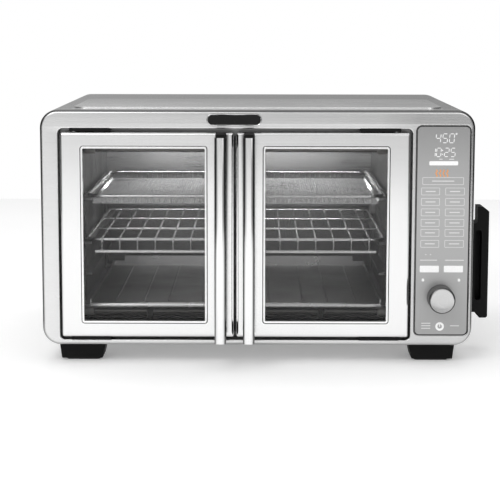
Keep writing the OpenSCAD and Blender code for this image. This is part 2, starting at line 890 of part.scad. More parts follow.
module bake_tray() {
  x0 = cav_mid - 174;
  x1 = cav_mid + 174;
  y0 = 30;
  y1 = 346;
  tray_t = 0.8;
  side_h = 6;
  back_h = 13;
  back_half = 158;
  lip_r = 3;
  rib_r = 1.4;
  in_frame() color("gray") union() {
    difference() {
      block([x0, y0, tray_z - tray_t], [x1, y1, tray_z + side_h]);
      block([x0 + tray_t, y0 - eps, tray_z], [x1 - tray_t, y1 - tray_t, tray_z + side_h + 1]);
    }
    block([cav_mid - back_half, y1 - tray_t, tray_z + side_h - 1],
          [cav_mid + back_half, y1, tray_z + back_h]);
    rod_x(x0, x1, y0, tray_z - 1.2, lip_r);
    for (x = [-145, -111, -81, -40, 0, 40, 81, 111, 145]) {
      rod_y(cav_mid + x, y0 + 20, y1 - 16, tray_z - 0.6, rib_r);
    }
  }
}

module crumb_tray() {
  side_gap = 4;
  y0 = 30;
  y1 = 360;
  z0 = cav_z0 + 0.4;
  z1 = cav_z0 + 7;
  in_frame() color("darkgray") difference() {
    block([cav_x0 + side_gap, y0, z0], [cav_x1 - side_gap, y1, z1]);
    block([cav_x0 + side_gap + wall, y0 + wall, z0 + wall],
          [cav_x1 - side_gap - wall, y1 - wall, z1 + wall]);
  }
}

// ---------- outside fittings ----------

module cord_gland() {
  in_frame() color([0.08, 0.08, 0.08]) difference() {
    union() {
      rod_y(gland_x, back_y - 8, body_d + gland_reach, gland_z, gland_r);
      rod_y(gland_x, body_d, body_d + 2.5, gland_z, gland_r + 4);
      rod_y(gland_x, back_y - 3, back_y, gland_z, gland_r + 3);
    }
    rod_y(gland_x, back_y - 9, body_d + gland_reach + eps, gland_z, 4);
  }
}

// Moulded black piece with a free upper end and a scooped front
module side_handle() {
  out = side_reach;
  gap_x = 16;
  low_z = base_z + 18;
  high_z = base_z + 156;
  root_z0 = base_z + 25;
  root_z1 = base_z + 130;
  scoop_x0 = 13.5;
  scoop_x1 = 21.5;
  scoop_d = 16;
  in_frame() color([0.07, 0.07, 0.07])
    translate([half_w, 0, 0]) difference() {
      translate([0, side_y1, 0]) rotate([90, 0, 0]) linear_extrude(side_y1 - side_y0)
        polygon([[0, root_z0], [gap_x - 2, root_z0], [gap_x + 4, low_z], [out - 2, low_z],
                 [out, low_z + 2], [out, high_z - 6], [out - 8, high_z],
                 [gap_x, high_z], [gap_x, root_z1 + 7], [0, root_z1]]);
      slab(scoop_x0, scoop_x1, root_z0 + 15, root_z1 - 3, side_y0 - eps, side_y0 + scoop_d, 3.9);
    }
}

module case_screws() {
  head_r = 3.6;
  head_h = 1.6;
  in_frame() color("dimgray") {
    for (x = [-half_w + 14, half_w - 14]) for (z = [base_z + 60, base_z + 215]) {
      rod_y(x, body_d, body_d + head_h, z, head_r);
    }
    for (x = [-120, 0, 120]) rod_y(x, body_d, body_d + head_h, top_z - 12, head_r);
  }
}

front_bezel();
badge();
cabinet_wrap();
rear_panel();
base_pan();
feet();
foot_pads();
cavity_left_wall();
cavity_right_wall();
cavity_floor();
cavity_ceiling();
cavity_back();
cavity_front_flange();
rack_guides_left();
rack_guides_right();
upper_heaters();
lower_heaters();
heater_insulators();
heater_clips();
temperature_sensor();
oven_lamp();
lamp_cover();
fan_housing();
fan_motor();
control_panel();
display();
control_board();
power_board();
encoder();
hinge_brackets_upper();
hinge_brackets_lower();
sync_guides();
cord_gland();
side_handle();
case_screws();
door_frame(-1);  // left_door_frame
door_inner(-1);  // left_door_inner
door_glass(-1);  // left_door_glass
door_trim(-1);  // left_door_trim
door_handle(-1);  // left_door_handle
door_posts(-1);  // left_door_posts
door_pins(-1);  // left_door_pins
door_frame(1);  // right_door_frame
door_inner(1);  // right_door_inner
door_glass(1);  // right_door_glass
door_trim(1);  // right_door_trim
door_handle(1);  // right_door_handle
door_posts(1);  // right_door_posts
door_pins(1);  // right_door_pins
sync_rack_bar();
sync_idler();
knob();
knob_cap();
fan_shaft();
convection_fan();
cooling_fan();
wire_rack();
fry_basket();
bake_tray();
crumb_tray();
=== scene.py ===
import json
import math

import bmesh
import bpy
from mathutils import Matrix, Vector
from mathutils.geometry import tessellate_polygon


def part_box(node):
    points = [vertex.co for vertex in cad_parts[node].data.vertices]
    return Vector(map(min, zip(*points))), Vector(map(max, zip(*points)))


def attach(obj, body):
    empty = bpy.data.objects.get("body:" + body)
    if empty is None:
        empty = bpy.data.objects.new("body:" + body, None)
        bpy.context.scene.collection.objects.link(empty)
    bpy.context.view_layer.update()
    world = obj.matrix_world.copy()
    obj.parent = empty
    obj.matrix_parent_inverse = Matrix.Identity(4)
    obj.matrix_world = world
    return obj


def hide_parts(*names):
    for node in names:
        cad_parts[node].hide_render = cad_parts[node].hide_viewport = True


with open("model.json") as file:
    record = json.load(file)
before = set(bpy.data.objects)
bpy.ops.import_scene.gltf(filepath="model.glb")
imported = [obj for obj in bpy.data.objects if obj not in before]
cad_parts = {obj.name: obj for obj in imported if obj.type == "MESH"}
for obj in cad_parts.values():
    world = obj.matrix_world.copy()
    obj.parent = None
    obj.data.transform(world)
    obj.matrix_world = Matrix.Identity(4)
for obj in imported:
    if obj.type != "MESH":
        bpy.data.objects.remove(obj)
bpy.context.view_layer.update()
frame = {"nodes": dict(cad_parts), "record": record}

# Outlines and Shape use millimetres from the middle of the bezel's front face, on the table.
# Lights and materials use metres in the frame.
MM = 0.001
bezel_lo, bezel_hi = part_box("front_bezel")
ORIGIN = Vector(((bezel_lo.x + bezel_hi.x) / 2, bezel_lo.y, 0.0))


def at(x, y, z):
    return ORIGIN + Vector((x, y, z)) * MM


def local_box(node):
    """A CAD node's corners in millimetres from ORIGIN."""
    lo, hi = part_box(node)
    return (lo - ORIGIN) / MM, (hi - ORIGIN) / MM


# ---------- materials ----------

class Nodes:
    """Short names for the shader nodes that every material here uses."""

    def __init__(self, name, **values):
        self.material = bpy.data.materials.new(name)
        self.material.use_nodes = True
        self.tree = self.material.node_tree
        self.tree.nodes.clear()
        output = self.tree.nodes.new("ShaderNodeOutputMaterial")
        self.shader = self.tree.nodes.new("ShaderNodeBsdfPrincipled")
        self.tree.links.new(self.shader.outputs[0], output.inputs[0])
        self.set(**values)

    def set(self, **values):
        for key, value in values.items():
            socket = self.shader.inputs[key.replace("_", " ")]
            if isinstance(value, bpy.types.NodeSocket):
                self.tree.links.new(value, socket)
            else:
                socket.default_value = value
        return self

    def node(self, kind, **values):
        made = self.tree.nodes.new("ShaderNode" + kind)
        for key, value in values.items():
            setattr(made, key, value)
        return made

    def feed(self, made, *inputs):
        for index, value in inputs:
            if isinstance(value, bpy.types.NodeSocket):
                self.tree.links.new(value, made.inputs[index])
            else:
                made.inputs[index].default_value = value
        return made

    def place(self, scale=(1, 1, 1), turn=(0, 0, 0)):
        made = self.node("Mapping")
        source = self.node("TexCoord").outputs["Object"]
        self.feed(made, ("Vector", source), ("Scale", scale), ("Rotation", turn))
        return made.outputs[0]

    def noise(self, vector, scale, detail=2.0, rough=0.5):
        made = self.node("TexNoise")
        self.feed(made, ("Vector", vector), ("Scale", scale), ("Detail", detail), ("Roughness", rough))
        return made.outputs[0]

    def spread(self, value, low, high, from_low=0.3, from_high=0.7):
        made = self.node("MapRange")
        self.feed(made, ("Value", value), ("From Min", from_low), ("From Max", from_high),
                  ("To Min", low), ("To Max", high))
        return made.outputs[0]

    def ramp(self, value, *stops):
        made = self.node("ValToRGB")
        set_stops(made, stops)
        self.feed(made, (0, value))
        return made.outputs[0]

    def mix(self, share, first, second, blend="MIX"):
        made = self.node("Mix", data_type="RGBA", blend_type=blend)
        self.feed(made, (0, share), (6, first), (7, second))
        return made.outputs[2]

    def sums(self, operation, first, second):
        made = self.node("Math", operation=operation)
        self.feed(made, (0, first), (1, second))
        return made.outputs[0]

    def axis(self, name):
        made = self.node("SeparateXYZ")
        self.feed(made, (0, self.node("TexCoord").outputs["Object"]))
        return made.outputs[name]

    def normal(self):
        """The X, Y and Z of the direction that a face looks to."""
        made = self.node("SeparateXYZ")
        self.feed(made, (0, self.node("TexCoord").outputs["Normal"]))
        return made.outputs

    def facing(self):
        """1 on faces that look to the front, 0 on faces that look to a side."""
        return self.sums("MULTIPLY", self.normal()["Y"], -1.0)

    def from_axis(self, centre):
        """The vector from the front-to-back axis through centre."""
        moved = self.node("VectorMath", operation="SUBTRACT")
        self.feed(moved, (0, self.node("TexCoord").outputs["Object"]), (1, centre))
        flat = self.node("VectorMath", operation="MULTIPLY")
        self.feed(flat, (0, moved.outputs[0]), (1, (1.0, 0.0, 1.0)))
        return flat.outputs[0]

    def outward(self, centre):
        """Above 0 on faces that look away from centre."""
        dot = self.node("VectorMath", operation="DOT_PRODUCT")
        self.feed(dot, (0, self.from_axis(centre)), (1, self.node("TexCoord").outputs["Normal"]))
        return dot.outputs["Value"]

    def bump(self, height, strength, distance=0.0002):
        made = self.node("Bump")
        self.feed(made, ("Height", height), ("Strength", strength), ("Distance", distance))
        self.set(Normal=made.outputs[0])
        return self

    def edges(self, radius=0.0012):
        """About 1 on flat areas and lower on edges, for wear."""
        bevel = self.node("Bevel", samples=4)
        bevel.inputs[0].default_value = radius
        dot = self.node("VectorMath", operation="DOT_PRODUCT")
        self.feed(dot, (0, bevel.outputs[0]), (1, self.node("NewGeometry").outputs["Normal"]))
        return dot.outputs["Value"]


def grey(value):
    """A grey from one number, or a colour from three, with full alpha."""
    if isinstance(value, (int, float)):
        return (value, value, value, 1.0)
    return (*value, 1.0)


def set_stops(ramp_node, stops):
    elements = ramp_node.color_ramp.elements
    while len(elements) < len(stops):
        elements.new(0.5)
    for element, (position, value) in zip(elements, stops):
        element.position = position
        element.color = grey(value)


MATERIALS = {}


def steel(name, tone, rough, grain="x", streak=0.06, bump=0.04, smudge=0.04, tint=(1, 1, 1),
          fine=3200.0, dim=None):
    """Brushed metal: long streaks along one axis, finer grain in them, and soft cloudy wear.

    dim, if given, returns the share of painted shade: a near-black tone mixed in place by place.
    """
    n = Nodes(name, Metallic=1.0)
    long = 5
    band_scale = 0.12
    scale = {"x": (long, fine, fine), "y": (fine, long, fine), "z": (fine, fine, long),
             "none": (fine, fine, fine)}[grain]
    streaks = n.noise(n.place(scale), 1.0, 3.0, 0.6)
    bands = n.noise(n.place(tuple(s * band_scale + 1 for s in scale)), 1.0, 2.0, 0.5)
    clouds = n.noise(n.place(), 9.0, 3.0, 0.55)
    both = n.sums("ADD", n.sums("MULTIPLY", streaks, 0.75), n.sums("MULTIPLY", bands, 0.25))
    low = tuple(tone * (1 - streak) * t for t in tint)
    high = tuple(min(1.0, tone * (1 + streak)) * t for t in tint)
    colour = n.mix(n.spread(both, 0.0, 1.0), grey(low), grey(high))
    worn = n.mix(n.spread(clouds, 0.0, smudge * 3), colour, grey(tuple(tone * 0.8 * t for t in tint)))
    # Painted shade: near-black is mixed over the worn colour where dim gives a share, so worn then carries
    # both wear and painted shade
    if dim:
        painted_shade_black = 0.05
        worn = n.mix(dim(n), worn, grey(painted_shade_black))
    n.set(Base_Color=worn)
    n.set(Roughness=n.sums("ADD", n.spread(streaks, rough * 0.8, rough * 1.2),
                           n.spread(clouds, -smudge, smudge)))
    n.bump(both, bump)
    MATERIALS[name] = n.material
    return n


def moulded(name, tone, rough, grain=1800.0, bump=0.25, worn=0.25, tint=(1, 1, 1)):
    """Moulded plastic or rubber with a fine leather-like grain and rubbed edges."""
    n = Nodes(name)
    pits = n.node("TexVoronoi")
    n.feed(pits, ("Vector", n.place()), ("Scale", grain))
    clouds = n.noise(n.place(), 14.0, 4.0, 0.6)
    speck = n.noise(n.place(), grain, 2.0, 0.6)
    body = n.mix(n.spread(clouds, 0.0, 1.0), grey(tuple(tone * 0.8 * t for t in tint)),
                 grey(tuple(tone * 1.25 * t for t in tint)))
    rubbed = n.mix(n.spread(n.edges(), worn, 0.0, 0.75, 0.97), body,
                   grey(tuple(min(1, tone * 2.2 + 0.02) * t for t in tint)))
    n.set(Base_Color=rubbed)
    n.set(Roughness=n.sums("ADD", n.spread(speck, rough - 0.06, rough + 0.06),
                           n.spread(clouds, -0.04, 0.04)))
    n.bump(n.sums("ADD", pits.outputs["Distance"], speck), bump, 0.00012)
    MATERIALS[name] = n.material
    return n


def bezel_shade(n):
    """Share of painted shade on the bezel's rolled outer edge, on its openings' walls, and a little to its
    right.
    """
    lo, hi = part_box("front_bezel")
    middle = (lo + hi) / 2
    facing = n.facing()
    # Painted shade: the rolled edge is dark only near the front, and less so along the bottom
    rolled = n.spread(facing, 0.94, 0.0, 0.82, 0.996)
    outer = n.spread(n.outward(middle), 0.0, 1.0, 0.0, 0.004)
    front = n.spread(n.axis("Y"), 1.0, 0.12, lo.y + 5 * MM, lo.y + 9 * MM)
    upper = n.spread(n.axis("Z"), 0.45, 1.0, lo.z + 3 * MM, lo.z + 30 * MM)
    rim = n.sums("MULTIPLY", n.sums("MULTIPLY", rolled, outer), n.sums("MULTIPLY", front, upper))
    inner = n.sums("MULTIPLY", n.spread(facing, 1.0, 0.0, 0.1, 0.5), n.sums("SUBTRACT", 1.0, outer))
    right = n.spread(n.axis("X"), 0.0, 0.20, middle.x + 140 * MM, middle.x + 190 * MM)
    return n.sums("MAXIMUM", n.sums("MAXIMUM", rim, inner), right)


def door_shade(n):
    """Share of painted shade on a door's rolled edges, and of a painted reflection of the bar beside the
    middle seam.
    """
    _, left_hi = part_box("left_door_frame")
    right_lo, right_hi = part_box("right_door_frame")
    seam = (left_hi.x + right_lo.x) / 2
    away = n.sums("ABSOLUTE", n.sums("SUBTRACT", n.axis("X"), seam), 0.0)
    narrowing = n.spread(n.axis("Z"), 3.5 * MM, 0.0, right_lo.z, right_hi.z)
    near = n.spread(n.sums("SUBTRACT", away, narrowing), 0.0, 1.0, 6.5 * MM, 9.5 * MM)
    far = n.spread(away, 1.0, 0.0, 16.5 * MM, 19.5 * MM)
    facing = n.facing()
    flat = n.spread(facing, 0.0, 0.78, 0.8, 0.95)
    reflection = n.sums("MULTIPLY", n.sums("MULTIPLY", near, far), flat)
    off_seam = n.spread(away, 0.1, 1.0, 5 * MM, 9 * MM)
    rolled = n.sums("MULTIPLY", n.spread(facing, 0.45, 0.0, 0.5, 0.96), off_seam)
    return n.sums("MAXIMUM", reflection, rolled)


def top_shade(n):
    """Share of painted shade on the cabinet's top: most behind and beside the raised field, least in front of
    it; and on its sides.
    """
    lo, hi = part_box("cabinet_wrap")
    half_field = 219 * MM
    field_front = lo.y + 9.2 * MM
    field_back = lo.y + 209.2 * MM
    step = 1 * MM
    normal = n.normal()
    upward = n.spread(normal["Z"], 0.0, 1.0, 0.4, 0.9)
    side = n.sums("ABSOLUTE", n.sums("SUBTRACT", n.axis("X"), (lo.x + hi.x) / 2), 0.0)
    beside = n.spread(side, 0.0, 0.46, half_field - step, half_field + step)
    behind = n.spread(n.axis("Y"), 0.0, 0.52, field_back - step, field_back + 30 * MM)
    field = n.spread(n.axis("Y"), 0.0, 0.30, field_front, field_back)
    flank = n.spread(n.sums("ABSOLUTE", normal["X"], 0.0), 0.0, 0.36, 0.4, 0.9)
    top = n.sums("MULTIPLY", upward, n.sums("MAXIMUM", n.sums("MAXIMUM", beside, behind), field))
    return n.sums("MAXIMUM", top, flank)


def drop_shade(n):
    """Share of painted shade on the short wires between the rack and its front bar."""
    lo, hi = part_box("wire_rack")
    above_bar = n.spread(n.axis("Z"), 0.0, 1.0, lo.z + 3.6 * MM, lo.z + 4.6 * MM)
    below_rack = n.spread(n.axis("Z"), 0.6, 0.0, hi.z - 6 * MM, hi.z - 5 * MM)
    return n.sums("MULTIPLY", above_bar, below_rack)


def bar_shade(n):
    """Share of painted shade on a handle's rolled sides, where the light front widens downwards."""
    lo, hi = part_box("left_door_handle")
    narrowing = n.spread(n.axis("Z"), 0.0, 0.12, lo.z, hi.z)
    return n.spread(n.sums("SUBTRACT", n.facing(), narrowing), 0.90, 0.0, 0.66, 0.93)


def cavity_shade(n):
    """Share of painted shade on the cooking space's lower half and on its side walls, which get the most."""
    lo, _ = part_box("cavity_floor")
    _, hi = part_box("cavity_ceiling")
    sideways = n.spread(n.sums("ABSOLUTE", n.normal()["X"], 0.0), 0.0, 0.80, 0.5, 0.9)
    low = n.spread(n.axis("Z"), 0.62, 0.0, lo.z + 100 * MM, hi.z - 30 * MM)
    return n.sums("MAXIMUM", sideways, low)


steel("front_steel", 0.74, 0.25, "x", streak=0.035, bump=0.015, smudge=0.02, dim=bezel_shade)
steel("cabinet_steel", 0.84, 0.25, "x", streak=0.05, bump=0.02, smudge=0.04, dim=top_shade)
steel("galvanised_steel", 0.52, 0.42, "none", streak=0.12, smudge=0.10, fine=220.0)
steel("door_steel", 0.84, 0.15, "x", streak=0.02, bump=0.006, smudge=0.015, dim=door_shade)
steel("door_inner_steel", 0.62, 0.30, "z")
steel("handle_steel", 0.88, 0.16, "z", streak=0.03, bump=0.008, smudge=0.015, dim=bar_shade)
steel("trim_chrome", 0.95, 0.22, "none", streak=0.03, bump=0.01)
steel("wire_chrome", 0.92, 0.24, "none", streak=0.04, bump=0.01, smudge=0.05, dim=drop_shade)
steel("basket_wire", 0.90, 0.30, "none", streak=0.08, smudge=0.05, fine=500.0)
steel("crumb_steel", 0.30, 0.38, "x", streak=0.10, smudge=0.12)
steel("cavity_steel", 0.44, 0.34, "x", streak=0.05, bump=0.01, smudge=0.08, dim=cavity_shade)
steel("heater_sheath", 0.26, 0.34, "x", streak=0.14, smudge=0.16, tint=(1.0, 0.97, 0.93))
steel("motor_iron", 0.40, 0.45, "y", streak=0.10, smudge=0.12)
steel("knob_steel", 0.11, 0.32, "y", streak=0.10)
steel("gear_brass", 0.62, 0.30, "none", tint=(1.0, 0.78, 0.42), smudge=0.08)
steel("fan_aluminium", 0.66, 0.36, "none", streak=0.08, smudge=0.06)
steel("screw_steel", 0.55, 0.30, "none", streak=0.08)

moulded("black_plastic", 0.005, 0.55).set(Specular_IOR_Level=0.14)
moulded("black_metal", 0.008, 0.60, worn=0.1).set(Specular_IOR_Level=0.12)
moulded("post_black", 0.010, 0.58, worn=0.1).set(Specular_IOR_Level=0.15)
moulded("pad_rubber", 0.03, 0.70, grain=900.0, bump=0.4)
moulded("heater_ceramic", 0.42, 0.60, grain=700.0, bump=0.3, worn=0.1, tint=(1.0, 0.98, 0.94))
moulded("lamp_ceramic", 0.72, 0.55, grain=600.0, bump=0.2, worn=0.1, tint=(1.0, 0.98, 0.93))
moulded("board_green", 0.10, 0.40, grain=500.0, worn=0.0, tint=(0.25, 1.0, 0.45))

# Glossy black of the badge
gloss = moulded("badge_black", 0.006, 0.12, grain=300.0, bump=0.02, worn=0.5)
gloss.set(Coat_Weight=0.12, Coat_Roughness=0.10, Specular_IOR_Level=0.2)


def tray_coating():
    """Dark non-stick coating with scuffs, and a painted highlight: bright metal painted on the front lip and
    the back wall.
    """
    lo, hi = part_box("bake_tray")
    n = Nodes("tray_coated", Metallic=0.9)
    scuffs = n.noise(n.place((140, 9, 60)), 1.0, 4.0, 0.65)
    clouds = n.noise(n.place(), 12.0, 4.0, 0.6)
    coat = n.mix(n.spread(scuffs, 0.0, 1.0), grey(0.10), grey(0.15))
    coat = n.mix(n.spread(clouds, 0.0, 0.6), coat, grey((0.085, 0.083, 0.08)))
    # Painted highlight: the front lip and the back wall are painted bright by their place on the tray
    lip = n.spread(n.axis("Y"), 1.0, 0.0, lo.y + 5.8 * MM, lo.y + 6.8 * MM)
    back_wall = n.spread(n.axis("Y"), 0.0, 1.0, hi.y - 1.2 * MM, hi.y - 0.9 * MM)
    painted_highlight = n.sums("MAXIMUM", lip, back_wall)
    n.set(Base_Color=n.mix(painted_highlight, coat, grey(0.88)))
    n.set(Roughness=n.sums("SUBTRACT", n.spread(clouds, 0.34, 0.5), n.sums("MULTIPLY", painted_highlight, 0.16)))
    n.bump(scuffs, 0.08)
    MATERIALS["tray_coated"] = n.material


def panel_coating(name):
    """Grey gloss lacquer with a painted reflection: darker behind the display and lighter down the keys."""
    lo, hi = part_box("control_panel")
    n = Nodes(name, Metallic=0.55, Coat_Weight=0.25, Coat_Roughness=0.12)
    flake = n.noise(n.place(), 2600.0, 2.0, 0.6)
    clouds = n.noise(n.place(), 7.0, 2.0, 0.5)
    height = n.spread(n.axis("Z"), 0.0, 1.0, lo.z, hi.z)
    # Painted reflection: the lacquer's tone is set by height on the panel
    tone = n.ramp(height, (0.0, 0.34), (0.28, 0.41), (0.62, 0.47), (0.80, 0.40), (1.0, 0.27))
    tone = n.mix(n.spread(flake, 0.0, 0.25), tone, grey(0.62))
    n.set(Base_Color=n.mix(n.spread(clouds, 0.0, 0.12), tone, grey(0.3)))
    n.set(Roughness=n.spread(flake, 0.30, 0.40))
    n.bump(flake, 0.03)
    MATERIALS[name] = n.material


def knob_face():
    """Spun metal: rings round the knob's own axis."""
    lo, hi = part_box("knob_cap")
    n = Nodes("knob_face", Metallic=1.0, Anisotropic=0.6)
    radius = n.node("VectorMath", operation="LENGTH")
    n.feed(radius, (0, n.from_axis((lo + hi) / 2)))
    rings = n.node("TexNoise", noise_dimensions="1D")
    n.feed(rings, ("W", radius.outputs["Value"]), ("Scale", 2600.0), ("Detail", 3.0))
    n.set(Base_Color=n.mix(n.spread(rings.outputs[0], 0.0, 1.0), grey(0.55), grey(0.66)))
    n.set(Roughness=n.spread(rings.outputs[0], 0.24, 0.36))
    n.bump(rings.outputs[0], 0.10)
    MATERIALS["knob_face"] = n.material


def window_glass(name, alpha, tone=0.02):
    """Toughened glass: a faint smoky tint with a few wiped smears in its gloss."""
    n = Nodes(name, Alpha=alpha, IOR=1.5, Specular_IOR_Level=0.8)
    smears = n.noise(n.place((6, 1, 14)), 1.0, 4.0, 0.6)
    n.set(Base_Color=n.mix(n.spread(smears, 0.0, 1.0), grey(tone), grey(tone * 1.6)))
    n.set(Roughness=n.spread(smears, 0.02, 0.07))
    n.material.use_transparent_shadow = True
    MATERIALS[name] = n.material


def print_ink(name, colour, glow=0.0):
    """Screen-printed ink with uneven cover, lit from behind where glow is above 0."""
    n = Nodes(name, Emission_Strength=glow, Emission_Color=grey(colour))
    cover = n.noise(n.place(), 1400.0, 3.0, 0.6)
    dull = tuple(c * 0.88 for c in colour)
    n.set(Base_Color=n.mix(n.spread(cover, 0.0, 1.0), grey(dull), grey(colour)))
    n.set(Roughness=n.spread(cover, 0.38, 0.55))
    n.bump(cover, 0.05)
    MATERIALS[name] = n.material


tray_coating()
panel_coating("panel_grey")
panel_coating("display_dark")
knob_face()
window_glass("door_glass", 0.20)
window_glass("lamp_glass", 0.45, 0.5)
print_ink("ink_white", (0.92, 0.92, 0.92), 0.12)
print_ink("ink_faint", (0.78, 0.78, 0.78), 0.02)
print_ink("ink_orange", (0.80, 0.36, 0.14), 0.15)
print_ink("digit_glow", (0.88, 0.88, 0.88), 0.18)

# ---------- CAD nodes: finishes and softened edges ----------

SLOT_OF = {part["node"]: part["material_slot"] for part in frame["record"]["subparts"]}

# Widths of the softened edges, in millimetres
EDGES = {
    "feet": 1.4, "foot_pads": 0.8, "side_handle": 2.2, "badge": 0.6,
    "left_door_trim": 0.5, "right_door_trim": 0.5,
    "left_door_handle": 1.0, "right_door_handle": 1.0,
    "cabinet_wrap": 0.5, "rear_panel": 0.8, "bake_tray": 0.3, "heater_insulators": 0.5,
    "cord_gland": 0.8, "left_door_inner": 0.5, "right_door_inner": 0.5,
    "hinge_brackets_upper": 0.4, "hinge_brackets_lower": 0.4,
}


def soften(obj, width, segments=3):
    """Round a CAD node's sharp edges, which turn by more than 38 degrees."""
    weld = obj.modifiers.new("weld", "WELD")
    weld.merge_threshold = 2e-6
    bevel = obj.modifiers.new("edge", "BEVEL")
    bevel.width = width * MM
    bevel.segments = segments
    bevel.limit_method = "ANGLE"
    bevel.angle_limit = math.radians(38)
    bevel.use_clamp_overlap = True
    bevel.harden_normals = True


for name, obj in frame["nodes"].items():
    slot = SLOT_OF[name]
    for material_slot in obj.material_slots:
        material_slot.material = MATERIALS[slot]
    if name in EDGES:
        soften(obj, EDGES[name])


# ---------- mesh building ----------

def rounded(x0, x1, z0, z1, r, steps=5):
    """Corners of a rectangle with round corners, anticlockwise."""
    points = []
    corners = ((x1 - r, z0 + r, -90), (x1 - r, z1 - r, 0), (x0 + r, z1 - r, 90), (x0 + r, z0 + r, 180))
    for cx, cz, start in corners:
        for i in range(steps + 1):
            a = math.radians(start + 90 * i / steps)
            points.append((cx + r * math.cos(a), cz + r * math.sin(a)))
    return points


class Shape:
    """Collects closed solids in millimetres and turns them into one piece."""

    def __init__(self):
        self.verts = []
        self.faces = []

    def add(self, verts, faces):
        base = len(self.verts)
        self.verts += [tuple(v) for v in verts]
        self.faces += [tuple(base + i for i in f) for f in faces]

    def prism(self, outline, y0, y1):
        """An outline in x and z, from y0 back to y1."""
        n = len(outline)
        verts = [(x, y0, z) for x, z in outline] + [(x, y1, z) for x, z in outline]
        faces = [tuple(range(n)), tuple(range(2 * n - 1, n - 1, -1))]
        faces += [(i, i + n, (i + 1) % n + n, (i + 1) % n) for i in range(n)]
        self.add(verts, faces)

    def ring(self, outer, inner, y0, y1):
        """The band between two outlines that have as many points as each other."""
        n = len(outer)
        verts = [(x, y, z) for y in (y0, y1) for line in (outer, inner) for x, z in line]
        faces = []
        for i in range(n):
            j = (i + 1) % n
            faces += [(i, j, n + j, n + i), (2 * n + j, 2 * n + i, 3 * n + i, 3 * n + j),
                      (j, i, 2 * n + i, 2 * n + j), (n + i, n + j, 3 * n + j, 3 * n + i)]
        self.add(verts, faces)

    def tube(self, points, radius, sides=8, closed=False, up=(0, 0, 1)):
        """A round wire along points. up isn't parallel to the wire anywhere."""
        points = [Vector(p) for p in points]
        up = Vector(up)
        count = len(points)
        verts = []
        for i, p in enumerate(points):
            before = points[i - 1] if (i or closed) else p
            after = points[(i + 1) % count] if (i < count - 1 or closed) else p
            along = (after - before).normalized()
            side = along.cross(up).normalized()
            over = side.cross(along)
            for k in range(sides):
                a = 2 * math.pi * (k + 0.5) / sides
                verts.append(p + radius * (math.cos(a) * side + math.sin(a) * over))
        faces = []
        for i in range(count if closed else count - 1):
            j = (i + 1) % count
            for k in range(sides):
                m = (k + 1) % sides
                faces.append((i * sides + k, i * sides + m, j * sides + m, j * sides + k))
        if not closed:
            faces.append(tuple(range(sides - 1, -1, -1)))
            faces.append(tuple(range((count - 1) * sides, count * sides)))
        self.add(verts, faces)

    def lathe(self, profile, centre, steps=64, flutes=None):
        """A profile of (radius, y) turned about the front-to-back axis through centre.

        flutes, if given, is (count, depth, y0, y1).
        """
        cx, cz = centre
        verts = []
        for r, y in profile:
            for k in range(steps):
                a = 2 * math.pi * k / steps
                cut = 0.0
                if flutes and flutes[2] <= y <= flutes[3]:
                    cut = flutes[1] * (0.5 - 0.5 * math.cos(a * flutes[0]))
                verts.append((cx + (r - cut) * math.cos(a), y, cz + (r - cut) * math.sin(a)))
        rows = len(profile)
        faces = []
        for i in range(rows - 1):
            low, high = i * steps, (i + 1) * steps
            for k in range(steps):
                m = (k + 1) % steps
                faces.append((low + k, low + m, high + m, high + k))
        faces.append(tuple(range(steps - 1, -1, -1)))
        faces.append(tuple(range((rows - 1) * steps, rows * steps)))
        self.add(verts, faces)

    def build(self, name, body, finish, slot, replaces=(), smooth=False, bevel=0.0, join=False):
        """Make the piece. join closes seams between solids that share points."""
        mesh = bpy.data.meshes.new(name)
        mesh.from_pydata([at(*v) for v in self.verts], [], self.faces)
        mesh.validate()
        if join:
            merge_points(mesh)
        obj = bpy.data.objects.new(name, mesh)
        bpy.context.scene.collection.objects.link(obj)
        fix_normals(mesh)
        mesh.materials.append(MATERIALS[finish])
        if smooth:
            mesh.shade_smooth()
            split = obj.modifiers.new("split", "EDGE_SPLIT")
            split.split_angle = math.radians(42)
        if bevel:
            rounding = obj.modifiers.new("edge", "BEVEL")
            rounding.width = bevel * MM
            rounding.segments = 2
            rounding.limit_method = "ANGLE"
        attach(obj, body)
        if replaces:
            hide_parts(*replaces)
        return obj


def merge_points(mesh):
    work = bmesh.new()
    work.from_mesh(mesh)
    bmesh.ops.remove_doubles(work, verts=work.verts, dist=0.00001)
    work.to_mesh(mesh)
    work.free()


def fix_normals(mesh):
    work = bmesh.new()
    work.from_mesh(mesh)
    bmesh.ops.recalc_face_normals(work, faces=work.faces)
    work.to_mesh(mesh)
    work.free()


# ---------- fry basket ----------

def loop_points(x0, x1, y0, y1, z, r, steps=6):
    return [(x, y, z) for x, y in rounded(x0, x1, y0, y1, r, steps)]


def woven_floor(xs, ys, z, wire_r):
    """Wires at xs and ys that pass over and under each other."""
    mesh = Shape()
    lift = wire_r * 0.95

    def level(i, j):
        return lift if (i + j) % 2 else -lift

    for i, x in enumerate(xs):
        mesh.tube([(x, y, z + level(i, j)) for j, y in enumerate(ys)], wire_r, 4)
    for j, y in enumerate(ys):
        mesh.tube([(x, y, z - level(i, j)) for i, x in enumerate(xs)], wire_r, 4)
    return mesh


def evenly(start, end, count):
    return [start + (end - start) * i / count for i in range(count + 1)]


